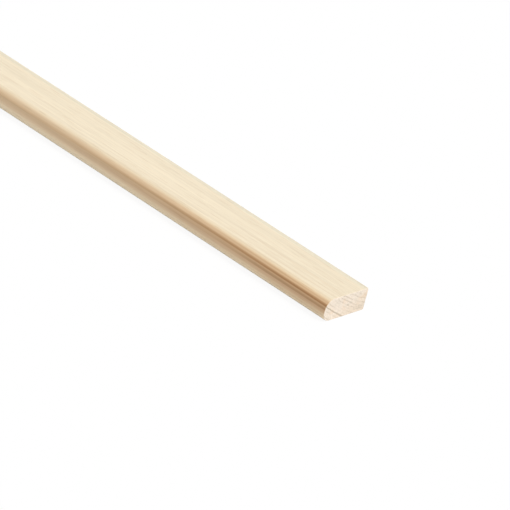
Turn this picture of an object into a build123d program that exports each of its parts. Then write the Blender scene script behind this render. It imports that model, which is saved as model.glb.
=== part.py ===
from build123d import *
import os

# Parting bead: one length of planed softwood moulding. It lies flat on one of its two wide faces,
# with its length along X, its width along Y and its thickness along Z. The origin is in the middle
# of the underside. The bullnosed edge points to -Y, and the square edge, which beds in the groove
# of a sash window's frame, points to +Y.

length = 2400.0  # between the two sawn ends
width = 20.0  # from the nose to the square edge
thickness = 8.0  # between the two wide faces
nose_flat = 1.0  # flat strip left between the two rounded corners of the nose
arris_radius = 0.5  # the planer's easing along the two corners of the square edge

# The two rounded corners share what the flat strip leaves of the thickness.
nose_radius = (thickness - nose_flat) / 2

# The section is drawn with the width along the sketch's X, and runs from end to end.
with BuildPart() as bead:
    with BuildSketch(Plane.YZ.offset(-length / 2)) as section:
        Rectangle(width, thickness, align=(Align.CENTER, Align.MIN))
        nose_corners = section.vertices().group_by(Axis.X)[0]
        square_corners = section.vertices().group_by(Axis.X)[-1]
        fillet(nose_corners, nose_radius)
        fillet(square_corners, arris_radius)
    extrude(amount=length)

os.makedirs("parts", exist_ok=True)
bead.part.label = "parting_bead"
export_step(bead.part, "parts/parting_bead.step")
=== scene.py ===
import bpy
import bmesh
import math
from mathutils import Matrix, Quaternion, Vector


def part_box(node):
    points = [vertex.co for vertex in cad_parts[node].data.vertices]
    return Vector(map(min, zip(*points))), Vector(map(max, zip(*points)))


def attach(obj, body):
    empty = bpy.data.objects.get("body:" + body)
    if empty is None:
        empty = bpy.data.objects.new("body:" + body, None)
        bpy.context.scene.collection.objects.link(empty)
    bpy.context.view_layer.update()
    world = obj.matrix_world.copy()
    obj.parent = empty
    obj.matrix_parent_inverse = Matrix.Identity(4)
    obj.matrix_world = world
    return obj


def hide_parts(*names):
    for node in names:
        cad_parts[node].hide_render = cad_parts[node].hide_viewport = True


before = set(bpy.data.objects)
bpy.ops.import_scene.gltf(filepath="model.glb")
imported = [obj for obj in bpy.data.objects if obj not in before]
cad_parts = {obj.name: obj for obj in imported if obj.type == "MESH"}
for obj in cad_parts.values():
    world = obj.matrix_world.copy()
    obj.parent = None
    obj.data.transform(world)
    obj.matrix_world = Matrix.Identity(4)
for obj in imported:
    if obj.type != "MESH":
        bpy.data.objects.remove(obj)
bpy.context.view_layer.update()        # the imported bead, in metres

mm = 0.001
beadLow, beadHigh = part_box("parting_bead")
beadSize = beadHigh - beadLow
beadMiddle = (beadHigh + beadLow) / 2
print("frame loaded, bead box in mm:", [round(side / mm, 1) for side in beadSize])


# small helpers for the node trees, shader and geometry alike

def addNode(tree, kind, inputs=None, **settings):         # an input is a socket to link or a plain value
    node = tree.nodes.new(kind)
    for name, value in settings.items():
        setattr(node, name, value)
    for name, value in (inputs or {}).items():
        if isinstance(value, bpy.types.NodeSocket):
            tree.links.new(value, node.inputs[name])
        else:
            node.inputs[name].default_value = value
    return node


def calc(tree, operation, *values):
    return addNode(tree, "ShaderNodeMath", dict(enumerate(values)), operation=operation).outputs[0]


def split(tree, vector):                                  # three sockets: along, across and up
    return addNode(tree, "ShaderNodeSeparateXYZ", {0: vector}).outputs


def scaled(tree, vector, factor):                         # a direction or a colour, times one value
    inputs = {0: vector, "Scale": factor}
    return addNode(tree, "ShaderNodeVectorMath", inputs, operation="SCALE").outputs[0]


def fade(tree, value, start, end, low=0.0, high=1.0):     # eased from low at start to high at end
    span = {"Value": value, "From Min": start, "From Max": end, "To Min": low, "To Max": high}
    return addNode(tree, "ShaderNodeMapRange", span, interpolation_type="SMOOTHSTEP").outputs["Result"]


def fadeOver(tree, value, span):                          # eased from 0 to 1 over a span in mm
    start, end = span
    return fade(tree, value, start * mm, end * mm)


def mixColour(tree, factor, first, second, blend="MIX"):
    inputs = {0: factor, 6: first, 7: second}             # a Mix node's sockets for colours
    return addNode(tree, "ShaderNodeMix", inputs, data_type="RGBA", blend_type=blend).outputs[2]


noiseMiddle = 0.5
noiseReach = 0.25                                         # most of a noise lies this near its middle
fineNoise = {"detail": 3.0, "roughness": 0.6}


def noise(tree, place, cycles, detail=2.0, roughness=0.5):     # cycles per metre along, across and up
    stretched = addNode(tree, "ShaderNodeVectorMath", {0: place, 1: cycles}, operation="MULTIPLY")
    inputs = {"Vector": stretched.outputs[0], "Scale": 1.0, "Detail": detail, "Roughness": roughness}
    return addNode(tree, "ShaderNodeTexNoise", inputs).outputs[0]


def shadeFrom(tree, pattern, depth):                      # makes a noise a shade, darker and lighter than 1
    span = {"Value": pattern, "From Min": noiseMiddle - noiseReach, "From Max": noiseMiddle + noiseReach,
            "To Min": 1 - depth, "To Max": 1 + depth}
    return addNode(tree, "ShaderNodeMapRange", span).outputs["Result"]


# growth rings, one solid field that the colours and the relief share
rings = {
    "pith": (27.0, 55.7),                  # mm across and up from the middle of the underside
    "wobble": 0.18,                        # mm that a ring strays from its circle
    "wobbleCycles": (9.0, 260.0, 260.0),   # per metre along, across and up
    "sway": 1.6,                           # mm that the rings drift along the length, none at the near end
    "swayLength": 1800.0,                  # mm for a drift to go and come back
    "inside": 0.75,                        # mm over which a ring darkens, from the pith outwards
    "outside": 0.24,                       # mm over which it turns pale again
    "lines": [                             # mm from the pith, and how dark the late wood is there
        (50.9, 0.03), (52.0, 0.04), (53.1, 0.07), (54.25, 0.09), (55.8, 0.20), (56.9, 0.20),
        (58.0, 0.20), (59.3, 0.20), (59.85, 0.05), (60.45, 0.16), (61.80, 1.00), (62.92, 0.24),
        (64.0, 0.05), (64.85, 0.12), (65.9, 0.10),
    ],
    "brokenUnder": 0.5,                    # rings fainter than this come and go in patches
    "patchCycles": (32.0, 330.0, 330.0),   # per metre
    "patchEdge": (0.34, 0.62),             # noise level where a patch begins, and where it is full
    "patchShare": (0.25, 1.30),            # how strong a ring is outside a patch, and in it
    "swells": [(280.0, 0.3), (610.0, 0.2)],    # mm long, and the share each has in the dark stretches
    "darkLeast": 0.12,                     # how dark the palest stretches are beside them
}


def fromNearEnd(tree, place):
    return calc(tree, "SUBTRACT", beadHigh.x, split(tree, place)["X"])


def wave(tree, way, length):               # 1 at the near end, -1 half a length on, and so on
    return calc(tree, "COSINE", calc(tree, "MULTIPLY", way, 2 * math.pi / (length * mm)))


def pithDistance(tree, place):             # in mm, with the stray and the drift of the rings
    across, up = split(tree, place)[1:]
    stray = calc(tree, "SUBTRACT", noise(tree, place, rings["wobbleCycles"]), noiseMiddle)
    stray = calc(tree, "MULTIPLY", stray, rings["wobble"] / noiseReach)
    drift = calc(tree, "SUBTRACT", wave(tree, fromNearEnd(tree, place), rings["swayLength"]), 1.0)
    drift = calc(tree, "MULTIPLY", drift, rings["sway"] / 2)
    pithAcross, pithUp = rings["pith"]
    across = calc(tree, "MULTIPLY_ADD", across, 1 / mm, -pithAcross)
    up = calc(tree, "MULTIPLY_ADD", up, 1 / mm, -pithUp)
    squares = calc(tree, "ADD", calc(tree, "MULTIPLY", across, across), calc(tree, "MULTIPLY", up, up))
    return calc(tree, "ADD", calc(tree, "SQRT", squares), calc(tree, "ADD", stray, drift))


def ringLine(tree, fromPith, radius, inside, outside):
    past = calc(tree, "SUBTRACT", fromPith, radius)
    rise = fade(tree, past, -inside, 0.0)
    return calc(tree, "MULTIPLY", rise, fade(tree, past, 0.0, outside, 1.0, 0.0))


def lateWoodField(tree, place, fromPith):  # 0 in the early wood, 1 in the darkest ring
    patch = noise(tree, place, rings["patchCycles"])
    patch = fade(tree, patch, *rings["patchEdge"], *rings["patchShare"])
    lateWood = 0.0
    for radius, strength in rings["lines"]:
        line = ringLine(tree, fromPith, radius, rings["inside"], rings["outside"])
        line = calc(tree, "MULTIPLY", line, strength)
        if strength < rings["brokenUnder"]:
            line = calc(tree, "MULTIPLY", line, patch)
        lateWood = calc(tree, "MAXIMUM", lateWood, line)
    return lateWood


def darkStretch(tree, place):              # 1 at the near end and in the darkest stretches
    fromEnd = fromNearEnd(tree, place)
    swell = 1 - sum(share for length, share in rings["swells"])
    for length, share in rings["swells"]:
        swell = calc(tree, "MULTIPLY_ADD", wave(tree, fromEnd, length), share, swell)
    return calc(tree, "MULTIPLY", swell, swell)


def startGroup(name, outputs):
    group = bpy.data.node_groups.new(name, "ShaderNodeTree")
    group.interface.new_socket("Place", in_out="INPUT", socket_type="NodeSocketVector")
    for output in outputs:
        group.interface.new_socket(output, in_out="OUTPUT", socket_type="NodeSocketFloat")
    return group, addNode(group, "NodeGroupInput").outputs["Place"]


def makeRingGroup():
    group, place = startGroup("growthRings", ("Late Wood", "Stretch", "From Pith"))
    fromPith = pithDistance(group, place)
    lateWood = lateWoodField(group, place, fromPith)
    stretch = darkStretch(group, place)
    addNode(group, "NodeGroupOutput", {"Late Wood": lateWood, "Stretch": stretch, "From Pith": fromPith})
    return group


# long fibres, as pale and dark streaks that run with the length
fibres = {
    "thread": (23.0, 2700.0, 2700.0),      # cycles per metre along, across and up
    "fine": (31.0, 1250.0, 1250.0),
    "broad": (6.0, 420.0, 420.0),
    "shares": (0.25, 0.45, 0.30),          # of the streaks, in that order
    "ducts": (150.0, 4700.0, 4700.0),      # resin ducts, as short thin dashes
    "ductEdge": (0.67, 0.74),              # noise level where a dash begins, and where it is full
}


def makeFibreGroup():
    group, place = startGroup("woodFibres", ("Streak", "Height", "Ducts"))
    thread = noise(group, place, fibres["thread"])
    fine = noise(group, place, fibres["fine"], **fineNoise)
    broad = noise(group, place, fibres["broad"])
    streak = 0.0
    for layer, share in zip((thread, fine, broad), fibres["shares"]):
        streak = calc(group, "MULTIPLY_ADD", layer, share, streak)
    dashes = noise(group, place, fibres["ducts"], detail=0.0)
    ducts = fade(group, dashes, *fibres["ductEdge"])
    addNode(group, "NodeGroupOutput", {"Streak": streak, "Height": fine, "Ducts": ducts})
    return group


ringGroup = makeRingGroup()
fibreGroup = makeFibreGroup()
print("grain made,", len(rings["lines"]), "growth rings")


# what both finishes of the wood share

def startMaterial(name):
    material = bpy.data.materials.new(name)
    material.use_nodes = True
    tree = material.node_tree
    place = addNode(tree, "ShaderNodeTexCoord").outputs["Object"]
    return material, tree, tree.nodes["Principled BSDF"], place


def placeGroup(tree, group, place):
    return addNode(tree, "ShaderNodeGroup", {"Place": place}, node_tree=group).outputs


def addBump(tree, shader, height, finish):
    inputs = {"Strength": finish["bump"], "Distance": finish["bumpDepth"] * mm, "Height": height}
    bump = addNode(tree, "ShaderNodeBump", inputs)
    tree.links.new(bump.outputs[0], shader.inputs["Normal"])


# planed pine, on the four long faces
planed = {
    "earlyWood": (0.900, 0.785, 0.592, 1.0),
    "lateWood": (0.500, 0.300, 0.135, 1.0),
    "lateShare": 0.78,                     # how much of the late wood's colour the darkest ring takes
    "nose": (-5.0, -6.0),                  # mm across, where the nose's painted shade begins, and where it is full
    "noseSteep": (8.0, 7.1),               # mm up, where the nose leaves the top, and where it is steep
    "noseGain": 0.45,                      # under 1 brings the faint rings out where it is steep
    "nosePaintedShade": [                          # height up the nose, and the painted shade there, browner and darker partway down it
        (0.00, (1.00, 1.00, 1.00)), (0.22, (1.00, 0.98, 0.95)), (0.36, (1.00, 0.95, 0.90)),
        (0.43, (0.97, 0.88, 0.80)), (0.53, (0.885, 0.76, 0.66)), (0.70, (0.80, 0.67, 0.55)),
        (0.78, (0.84, 0.70, 0.57)), (0.85, (0.91, 0.785, 0.67)), (0.90, (0.97, 0.88, 0.79)),
        (0.945, (1.00, 0.96, 0.91)), (1.00, (1.00, 1.00, 1.00)),
    ],
    "darkStretchShade": 0.75,                        # how much of the painted shade the dark stretches of the rings take again
    "crestHighlight": 0.050,                        # how much brighter the painted highlight makes the crest of the nose
    "crestLower": (7.80, 7.90),            # mm up, where the painted highlight on the crest begins, and where it is full
    "crestUpper": (8.0, 7.955),            # mm up, the same from above
    "arrisShade": (0.930, 0.965, 0.990, 1.0),   # painted shade along the corners of the square edge
    "arrisAcross": (7.2, 8.6),             # mm across, where the painted shade begins, and where it is full
    "arrisUp": (1.6, 3.2),                 # mm up or down from mid thickness, the same
    "ductDepth": 0.22,                     # how much of the late wood's colour a resin duct takes
    "streakDepth": 0.130,                  # how far the fibres darken and lighten the wood
    "roughness": (0.62, 0.50),             # early wood and late wood
    "specular": 0.30,
    "bump": 0.50,
    "bumpDepth": 0.05,                     # mm
}


def makeRamp(tree, value, stops):
    node = addNode(tree, "ShaderNodeValToRGB", {"Fac": value})
    points = node.color_ramp.elements
    while len(points) < len(stops):
        points.new(0.5)                   # its place is set below
    for point, (position, colour) in zip(points, stops):
        point.position = position
        point.color = (*colour, 1.0)
    return node.outputs["Color"]


def makePlanedPine():
    material, tree, shader, place = startMaterial("planedPine")
    ring = placeGroup(tree, ringGroup, place)
    fibre = placeGroup(tree, fibreGroup, place)
    across, up = split(tree, place)[1:]

    # the rings
    onNose = fadeOver(tree, across, planed["nose"])
    steep = calc(tree, "MULTIPLY", onNose, fadeOver(tree, up, planed["noseSteep"]))
    gain = calc(tree, "MULTIPLY_ADD", steep, planed["noseGain"] - 1, 1.0)
    darkness = calc(tree, "MULTIPLY_ADD", ring["Stretch"], 1 - rings["darkLeast"], rings["darkLeast"])
    darkness = calc(tree, "MULTIPLY", darkness, planed["lateShare"])
    lateShare = calc(tree, "MULTIPLY", calc(tree, "POWER", ring["Late Wood"], gain), darkness)
    colour = mixColour(tree, lateShare, planed["earlyWood"], planed["lateWood"])

    # painted shade on the nose, and a painted highlight along its crest
    # painted shade: the nose darkened and browned by its height
    paintedShade = makeRamp(tree, calc(tree, "DIVIDE", up, beadSize.z), planed["nosePaintedShade"])
    colour = mixColour(tree, onNose, colour, paintedShade, "MULTIPLY")
    # the painted shade once more, deeper in the dark stretches of the rings
    darkStretchShade = calc(tree, "MULTIPLY", calc(tree, "MULTIPLY", onNose, ring["Stretch"]), planed["darkStretchShade"])
    colour = mixColour(tree, darkStretchShade, colour, paintedShade, "MULTIPLY")
    # a painted highlight along the crest of the nose, where it leaves the top
    crestHighlight = calc(tree, "MULTIPLY", onNose, fadeOver(tree, up, planed["crestUpper"]))
    crestHighlight = calc(tree, "MULTIPLY", crestHighlight, fadeOver(tree, up, planed["crestLower"]))

    # painted shade on the square edge's corners
    fromMiddle = calc(tree, "ABSOLUTE", calc(tree, "SUBTRACT", up, beadMiddle.z))
    nearCorner = fadeOver(tree, fromMiddle, planed["arrisUp"])
    onShadedArris = calc(tree, "MULTIPLY", fadeOver(tree, across, planed["arrisAcross"]), nearCorner)
    colour = mixColour(tree, onShadedArris, colour, planed["arrisShade"], "MULTIPLY")

    # resin ducts and fibres
    ducts = calc(tree, "MULTIPLY", fibre["Ducts"], planed["ductDepth"])
    colour = mixColour(tree, ducts, colour, planed["lateWood"])
    shade = shadeFrom(tree, fibre["Streak"], planed["streakDepth"])
    # the painted highlight on the crest is added to the fibres' shade here
    shade = calc(tree, "MULTIPLY_ADD", crestHighlight, planed["crestHighlight"], shade)
    tree.links.new(scaled(tree, colour, shade), shader.inputs["Base Color"])
    roughness = fade(tree, ring["Late Wood"], 0.0, 1.0, *planed["roughness"])
    tree.links.new(roughness, shader.inputs["Roughness"])
    addBump(tree, shader, fibre["Height"], planed)
    shader.inputs["Specular IOR Level"].default_value = planed["specular"]
    return material


# sawn pine, on the two end faces, where the rings show as fine lines
sawn = {
    "earlyWood": (0.880, 0.772, 0.650, 1.0),
    "lateWood": (0.460, 0.375, 0.270, 1.0),
    "lines": [                             # mm from the pith, darkness, and the mm across where it shows
        (53.1, 0.40, 5.9, 7.1), (53.1, 0.12, 4.0, 10.0), (54.3, 0.34, 1.5, 10.0),
        (55.85, 0.44, -3.0, 3.4), (55.85, 0.20, 3.4, 7.6), (55.75, 0.48, 7.9, 10.0),
        (56.9, 0.42, -3.2, 3.6), (57.05, 0.20, 3.6, 9.0), (57.75, 0.32, 5.4, 10.0),
        (58.0, 0.36, -4.6, -1.2), (58.05, 0.60, 0.5, 1.9), (58.05, 0.44, 2.9, 4.0),
        (58.05, 0.18, -5.0, 5.0), (58.35, 0.22, 4.6, 7.4), (58.9, 0.11, -6.0, 6.0),
        (58.85, 0.24, -1.0, 0.1), (58.95, 0.20, 1.2, 2.7), (58.95, 0.26, 4.9, 6.0),
        (59.9, 0.12, -6.0, 2.0), (59.9, 0.19, 2.0, 5.5), (60.65, 0.32, -9.5, -5.3),
        (60.75, 0.14, -5.3, 0.5), (61.95, 0.76, -10.0, 10.0), (62.15, 0.40, -3.6, -1.4),
        (63.1, 0.26, -9.5, -6.8), (63.2, 0.24, -5.2, -3.4), (64.95, 0.40, -10.0, -5.0),
    ],
    "lineInside": 0.55,                    # mm over which a line darkens, from the pith outwards
    "lineOutside": 0.20,                   # mm over which it turns pale again
    "lineSoft": 0.6,                       # mm over which it comes and goes along its way
    "lineLeast": 0.10,                     # how dark the rings are where no line is drawn
    "heart": (0.945, 0.925, 0.895, 1.0),   # duller wood towards the lower square corner
    "heartSlant": 0.5,                     # mm that its edge climbs for each mm across
    "heartSpan": (-4.5, 0.5),              # mm below that slant, where it begins, and where it is full
    "patchCycles": (61.7, 233.0, 277.0),   # per metre, patches a few mm across
    "warm": (0.990, 0.935, 0.875, 1.0),    # the warmer ones
    "warmEdge": (0.50, 0.66),              # noise level where one begins, and where it is full
    "cool": (0.925, 0.930, 0.925, 1.0),    # the greyer ones
    "coolEdge": (0.48, 0.34),
    "speckle": (2613.0, 2613.0, 2613.0),   # cycles per metre, the cut ends of the fibres
    "speckleDepth": 0.14,
    "roughness": 0.85,
    "specular": 0.20,
    "bump": 0.25,
    "bumpDepth": 0.05,                     # mm
}


def makeSawnPine():
    material, tree, shader, place = startMaterial("sawnPine")
    ring = placeGroup(tree, ringGroup, place)
    across, up = split(tree, place)[1:]

    # ring lines
    acrossMm = calc(tree, "DIVIDE", across, mm)
    soft = sawn["lineSoft"]
    lines = calc(tree, "MULTIPLY", ring["Late Wood"], sawn["lineLeast"])
    for radius, strength, first, last in sawn["lines"]:
        line = ringLine(tree, ring["From Pith"], radius, sawn["lineInside"], sawn["lineOutside"])
        begun = fade(tree, acrossMm, first - soft, first + soft, 0.0, strength)
        going = fade(tree, acrossMm, last - soft, last + soft, 1.0, 0.0)
        line = calc(tree, "MULTIPLY", line, calc(tree, "MULTIPLY", begun, going))
        lines = calc(tree, "MAXIMUM", lines, line)
    colour = mixColour(tree, lines, sawn["earlyWood"], sawn["lateWood"])

    # duller, warmer and greyer wood
    corner = calc(tree, "SUBTRACT", calc(tree, "MULTIPLY", across, sawn["heartSlant"]), up)
    colour = mixColour(tree, fadeOver(tree, corner, sawn["heartSpan"]), colour, sawn["heart"], "MULTIPLY")
    patch = noise(tree, place, sawn["patchCycles"])
    colour = mixColour(tree, fade(tree, patch, *sawn["warmEdge"]), colour, sawn["warm"], "MULTIPLY")
    colour = mixColour(tree, fade(tree, patch, *sawn["coolEdge"]), colour, sawn["cool"], "MULTIPLY")

    # cut fibres
    speckle = noise(tree, place, sawn["speckle"], **fineNoise)
    shade = shadeFrom(tree, speckle, sawn["speckleDepth"])
    tree.links.new(scaled(tree, colour, shade), shader.inputs["Base Color"])
    addBump(tree, shader, speckle, sawn)
    shader.inputs["Roughness"].default_value = sawn["roughness"]
    shader.inputs["Specular IOR Level"].default_value = sawn["specular"]
    return material


planedPine = makePlanedPine()
sawnPine = makeSawnPine()
print("planed pine and sawn pine made")


# the bead itself
bead = {
    "noseRadius": 3.5,             # mm, both corners of the nose
    "arrisRadius": 0.5,            # mm, both corners of the square edge
    "noseSteps": 14,               # facets round each nose corner
    "arrisSteps": 3,               # facets round each corner of the square edge
    "flatStep": 0.4,               # mm between the lines along the flat faces
    "sawnEase": 0.18,              # mm taken off the rim of each sawn end
    "easeSteps": 2,                # facets round that rim
    "capInset": 0.20,              # mm from the rim to the grid on the end face
    "capStep": 0.25,               # mm, the grid on each end face
    "lengthCuts": (9, 20),         # cuts along the length, then again in each stretch
    "endFacing": 0.99,             # least share of the normal that runs along the bead, on the end faces
    "sawnFacing": 0.5,             # the same where the eased rim counts too
    "sideRelief": 0.008,           # mm that the early wood lies below the rings on the long faces
    "endRelief": 0.045,            # mm that it lies below them on the sawn ends
    "endTear": 0.016,              # mm of torn fibre on the sawn ends
    "tearCycles": (200.0, 1700.0, 1700.0),     # per metre along, across and up
    "reliefFacing": (0.5, 0.9),    # the same share, where the ends' relief begins, and where it is full
    "smoothAngle": 25.0,           # degrees, past which an edge stays sharp
}


def pick(mesh, parts, test):              # selects the verts, edges or faces that pass a test
    bpy.ops.mesh.select_mode(type={"verts": "VERT", "edges": "EDGE", "faces": "FACE"}[parts])
    bpy.ops.mesh.select_all(action="DESELECT")
    shape = bmesh.from_edit_mesh(mesh)
    for part in getattr(shape, parts):
        if not part.hide and test(part):
            part.select_set(True)
    bmesh.update_edit_mesh(mesh)


def isEnd(face):
    return abs(face.normal.x) > bead["endFacing"]


def isSawn(face):
    return abs(face.normal.x) > bead["sawnFacing"]


def evenCuts(length):                     # an odd number of cuts, so that a line runs down the middle
    return 2 * max(1, round(length / (2 * bead["flatStep"] * mm))) - 1


def drawSection(mesh):                    # rounds the corners of the blank's end and divides its flats
    tiny = 0.01 * mm
    pick(mesh, "verts", lambda v: v.co.y < beadMiddle.y)
    bpy.ops.mesh.bevel(offset=bead["noseRadius"] * mm, segments=bead["noseSteps"], affect="VERTICES")
    pick(mesh, "verts", lambda v: v.co.y > beadHigh.y - tiny)
    bpy.ops.mesh.bevel(offset=bead["arrisRadius"] * mm, segments=bead["arrisSteps"], affect="VERTICES")
    for axis, level in ((2, beadHigh.z), (2, beadLow.z), (1, beadHigh.y), (1, beadLow.y)):
        pick(mesh, "edges", lambda e: all(abs(v.co[axis] - level) < tiny for v in e.verts))
        shape = bmesh.from_edit_mesh(mesh)
        length = sum(e.calc_length() for e in shape.edges if e.select)
        bpy.ops.mesh.subdivide(number_cuts=evenCuts(length))


def sawEnds(mesh):                        # eases the sawn rims and lays a grid over the end faces
    pick(mesh, "faces", isEnd)
    bpy.ops.mesh.region_to_loop()
    bpy.ops.mesh.bevel(offset=bead["sawnEase"] * mm, segments=bead["easeSteps"], affect="EDGES")
    pick(mesh, "faces", isEnd)
    bpy.ops.mesh.inset(thickness=bead["capInset"] * mm, depth=0.0)
    bpy.ops.mesh.hide(unselected=True)
    step = bead["capStep"] * mm
    for axis, size in ((1, beadSize.y), (2, beadSize.z)):
        for k in range(1, round(size / step)):
            point, normal = Vector(beadLow), Vector((0.0, 0.0, 0.0))
            point[axis] += k * step
            normal[axis] = 1.0
            bpy.ops.mesh.select_all(action="SELECT")
            bpy.ops.mesh.bisect(plane_co=point, plane_no=normal)
    bpy.ops.mesh.reveal(select=False)


def alongBead(edge):                      # how far an edge goes along the bead
    return abs(edge.verts[0].co.x - edge.verts[1].co.x)


def divideLength(mesh):
    for cuts in bead["lengthCuts"]:
        shape = bmesh.from_edit_mesh(mesh)
        nearLongest = 0.9 * max(alongBead(e) for e in shape.edges)
        pick(mesh, "edges", lambda e: alongBead(e) > nearLongest)
        bpy.ops.mesh.subdivide(number_cuts=cuts)


def makeRelief():                         # sinks the soft early wood a little between the rings
    tree = bpy.data.node_groups.new("grainRelief", "GeometryNodeTree")
    tree.interface.new_socket("Geometry", in_out="INPUT", socket_type="NodeSocketGeometry")
    tree.interface.new_socket("Geometry", in_out="OUTPUT", socket_type="NodeSocketGeometry")
    shapeIn = addNode(tree, "NodeGroupInput").outputs[0]
    place = addNode(tree, "GeometryNodeInputPosition").outputs[0]
    normal = addNode(tree, "GeometryNodeInputNormal").outputs[0]
    early = calc(tree, "SUBTRACT", 1.0, lateWoodField(tree, place, pithDistance(tree, place)))
    onEnd = fade(tree, calc(tree, "ABSOLUTE", split(tree, normal)["X"]), *bead["reliefFacing"])
    sink = fade(tree, onEnd, 0.0, 1.0, -bead["sideRelief"] * mm, -bead["endRelief"] * mm)
    tear = calc(tree, "MULTIPLY", noise(tree, place, bead["tearCycles"]), onEnd)
    tear = calc(tree, "MULTIPLY", tear, -bead["endTear"] * mm)
    offset = scaled(tree, normal, calc(tree, "MULTIPLY_ADD", early, sink, tear))
    moved = addNode(tree, "GeometryNodeSetPosition", {"Geometry": shapeIn, "Offset": offset}).outputs[0]
    addNode(tree, "NodeGroupOutput", {"Geometry": moved})
    return tree


# a map with room across the grain, for the exported colours
bakeMap = {
    "strips": 3,                   # the length is folded into this many strips
    "stripHigh": 0.285,            # of the map, for the way round the section
    "gap": 0.006,                  # of the map, between the strips and along its edges
    "capHigh": 0.110,              # of the map, for an end face
    "capShift": 0.5,               # of the map, from the far end's face to the near end's
}


def roundSection(y, z):                   # way round the section, from the middle of the square edge
    radius = bead["noseRadius"] * mm
    halfHigh = beadSize.z / 2
    rise = abs(z - beadMiddle.z)
    noseMiddle = beadLow.y + radius
    if y >= noseMiddle:
        return rise + beadHigh.y - y      # corners counted square
    turn = math.atan2(noseMiddle - y, max(rise - (halfHigh - radius), 0.0))
    onFlat = max(halfHigh - radius - rise, 0.0)
    return halfHigh + beadHigh.y - noseMiddle + radius * turn + onFlat


def layBakeMap(mesh):
    layer = mesh.uv_layers.new(name="OFBake")
    stripLong = beadSize.x / bakeMap["strips"]
    halfRound = roundSection(beadLow.y, beadMiddle.z)
    gap = bakeMap["gap"]
    capScale = bakeMap["capHigh"] / beadSize.z
    for face in mesh.polygons:
        centre = face.center
        onEnd = isSawn(face)
        shift = bakeMap["capShift"] if centre.x > beadMiddle.x else 0.0
        strip = min(int((centre.x - beadLow.x) / stripLong), bakeMap["strips"] - 1)
        for corner in face.loop_indices:
            x, y, z = mesh.vertices[mesh.loops[corner].vertex_index].co
            if onEnd:
                u = gap + (y - beadLow.y) * capScale + shift
                v = 1 - gap - bakeMap["capHigh"] + (z - beadLow.z) * capScale
            else:
                way = roundSection(y, z) / halfRound
                way = 1 - way / 2 if centre.z < beadMiddle.z else way / 2
                u = gap + (1 - 2 * gap) * (x - beadLow.x - strip * stripLong) / stripLong
                v = gap + strip * (bakeMap["stripHigh"] + gap) + way * bakeMap["stripHigh"]
            layer.data[corner].uv = (u, v)


def makeBead():
    bpy.ops.object.select_all(action="DESELECT")
    bpy.ops.mesh.primitive_plane_add(size=1.0, calc_uvs=False)
    piece = bpy.context.object
    piece.name = "planed_bead"
    bpy.ops.object.mode_set(mode="EDIT")
    bpy.ops.transform.resize(value=(beadSize.z, beadSize.y, 1.0))
    bpy.ops.object.mode_set(mode="OBJECT")
    piece.rotation_euler = (0.0, -math.pi / 2, 0.0)      # stands the blank up across the far end
    piece.location = (beadLow.x, beadMiddle.y, beadMiddle.z)
    bpy.ops.object.transform_apply(location=True, rotation=True, scale=True)
    mesh = piece.data
    mesh.materials.append(planedPine)
    mesh.materials.append(sawnPine)
    bpy.ops.object.mode_set(mode="EDIT")
    drawSection(mesh)
    bpy.ops.mesh.select_all(action="SELECT")
    bpy.ops.mesh.extrude_region_move(TRANSFORM_OT_translate={"value": (beadSize.x, 0.0, 0.0)})
    bpy.ops.mesh.select_all(action="SELECT")
    bpy.ops.mesh.normals_make_consistent(inside=False)
    sawEnds(mesh)
    divideLength(mesh)
    pick(mesh, "faces", isSawn)
    piece.active_material_index = 1
    bpy.ops.object.material_slot_assign()
    bpy.ops.object.mode_set(mode="OBJECT")
    layBakeMap(mesh)
    relief = piece.modifiers.new("grainRelief", "NODES")
    relief.node_group = makeRelief()
    bpy.ops.object.modifier_apply(modifier=relief.name)
    bpy.ops.object.shade_smooth_by_angle(angle=math.radians(bead["smoothAngle"]))
    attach(piece, "root")
    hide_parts("parting_bead")
    return piece


beadPiece = makeBead()
print("bead made,", len(beadPiece.data.polygons), "faces")


# white ground that keeps a faint shadow, and a soft key light
studio = {
    "floorSize": 400.0,                    # m, so that low views see no edge
    "floorDrop": 0.00005,                  # m below the bead, so that the two don't share a plane
    "floorColour": (0.88, 0.88, 0.88, 1.0),
    "floorGlow": 0.90,                     # share of the floor's white that the camera sees without light
    "worldColour": (1.0, 1.0, 1.0, 1.0),
    "ambient": 0.45,                       # world light on the object
    "keyFrom": (0.53, 0.07, 0.80),         # towards the lamp
    "keyDistance": 3.0,                    # m
    "keyStrength": 2.08,
    "keyAngle": 30.0,                      # degrees, wide and so soft
}


def seenDirectly(tree):                   # 1 for the eye and for mirrors and glass, 0 for soft light
    path = addNode(tree, "ShaderNodeLightPath")
    seen = calc(tree, "MAXIMUM", path.outputs["Is Camera Ray"], path.outputs["Is Glossy Ray"])
    return calc(tree, "MAXIMUM", seen, path.outputs["Is Transmission Ray"])


def makeWorld():
    world = bpy.data.worlds.new("studioWorld")
    bpy.context.scene.world = world
    world.use_nodes = True
    tree = world.node_tree
    background = tree.nodes["Background"]
    background.inputs["Color"].default_value = studio["worldColour"]
    strength = calc(tree, "MULTIPLY_ADD", seenDirectly(tree), 1 - studio["ambient"], studio["ambient"])
    tree.links.new(strength, background.inputs["Strength"])


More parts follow.
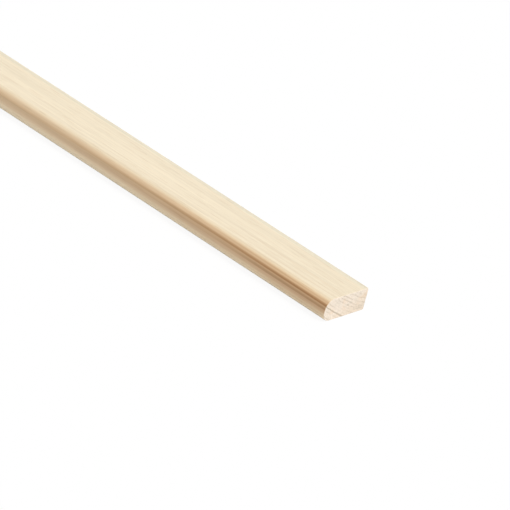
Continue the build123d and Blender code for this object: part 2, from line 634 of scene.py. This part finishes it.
def makeFloor():
    bpy.ops.object.select_all(action="DESELECT")
    bpy.ops.mesh.primitive_plane_add(size=studio["floorSize"], location=(0.0, 0.0, -studio["floorDrop"]))
    floor = bpy.context.object
    floor.name = "studio_floor"
    material = bpy.data.materials.new("paleFloor")
    material.use_nodes = True
    tree = material.node_tree
    tree.nodes.remove(tree.nodes["Principled BSDF"])
    paint = addNode(tree, "ShaderNodeBsdfDiffuse", {"Color": studio["floorColour"]})
    lit = (1 - studio["floorGlow"]) * studio["floorColour"][0]     # the glow makes this up to white
    glow = addNode(tree, "ShaderNodeEmission", {"Strength": (1 - lit) / studio["floorGlow"]})
    share = calc(tree, "MULTIPLY", seenDirectly(tree), studio["floorGlow"])
    ground = addNode(tree, "ShaderNodeMixShader", {0: share, 1: paint.outputs[0], 2: glow.outputs[0]})
    tree.links.new(ground.outputs[0], tree.nodes["Material Output"].inputs["Surface"])
    floor.data.materials.append(material)


def makeKey():
    towards = Vector(studio["keyFrom"]).normalized()
    bpy.ops.object.light_add(type="SUN", location=beadMiddle + towards * studio["keyDistance"])
    key = bpy.context.object
    key.name = "key_light"
    key.rotation_euler = towards.to_track_quat("Z", "Y").to_euler()
    key.data.energy = studio["keyStrength"]
    key.data.angle = math.radians(studio["keyAngle"])


makeWorld()
makeFloor()
makeKey()
print("studio made")


# the camera, set by the bead's outline in the picture
camera = {
    "lens": 350.1,                         # mm
    "sensor": 36.0,                        # mm
    "aim": (-28.47, -14.27, 10.31),        # mm from the middle of the near end's lower edge
    "distance": 1554.5,                    # mm
    "azimuth": 36.047,                     # degrees
    "elevation": 26.864,
    "roll": 14.837,
    "clipEnd": 1000.0,                     # m, past the far side of the floor
}


def makeCamera():
    azimuth, elevation = math.radians(camera["azimuth"]), math.radians(camera["elevation"])
    level = math.cos(elevation)
    back = Vector((math.sin(azimuth) * level, -math.cos(azimuth) * level, math.sin(elevation)))
    nearEnd = Vector((beadHigh.x, beadMiddle.y, beadLow.z))
    aim = nearEnd + Vector(camera["aim"]) * mm
    bpy.ops.object.camera_add(location=aim + back * camera["distance"] * mm)
    eye = bpy.context.object
    eye.name = "studio_camera"
    turn = back.to_track_quat("Z", "Y") @ Quaternion((0.0, 0.0, 1.0), math.radians(camera["roll"]))
    eye.rotation_euler = turn.to_euler()
    eye.data.lens = camera["lens"]
    eye.data.sensor_width = camera["sensor"]
    eye.data.clip_end = camera["clipEnd"]
    bpy.context.scene.camera = eye


makeCamera()
bpy.context.scene.view_settings.view_transform = "Standard"
print("camera placed")
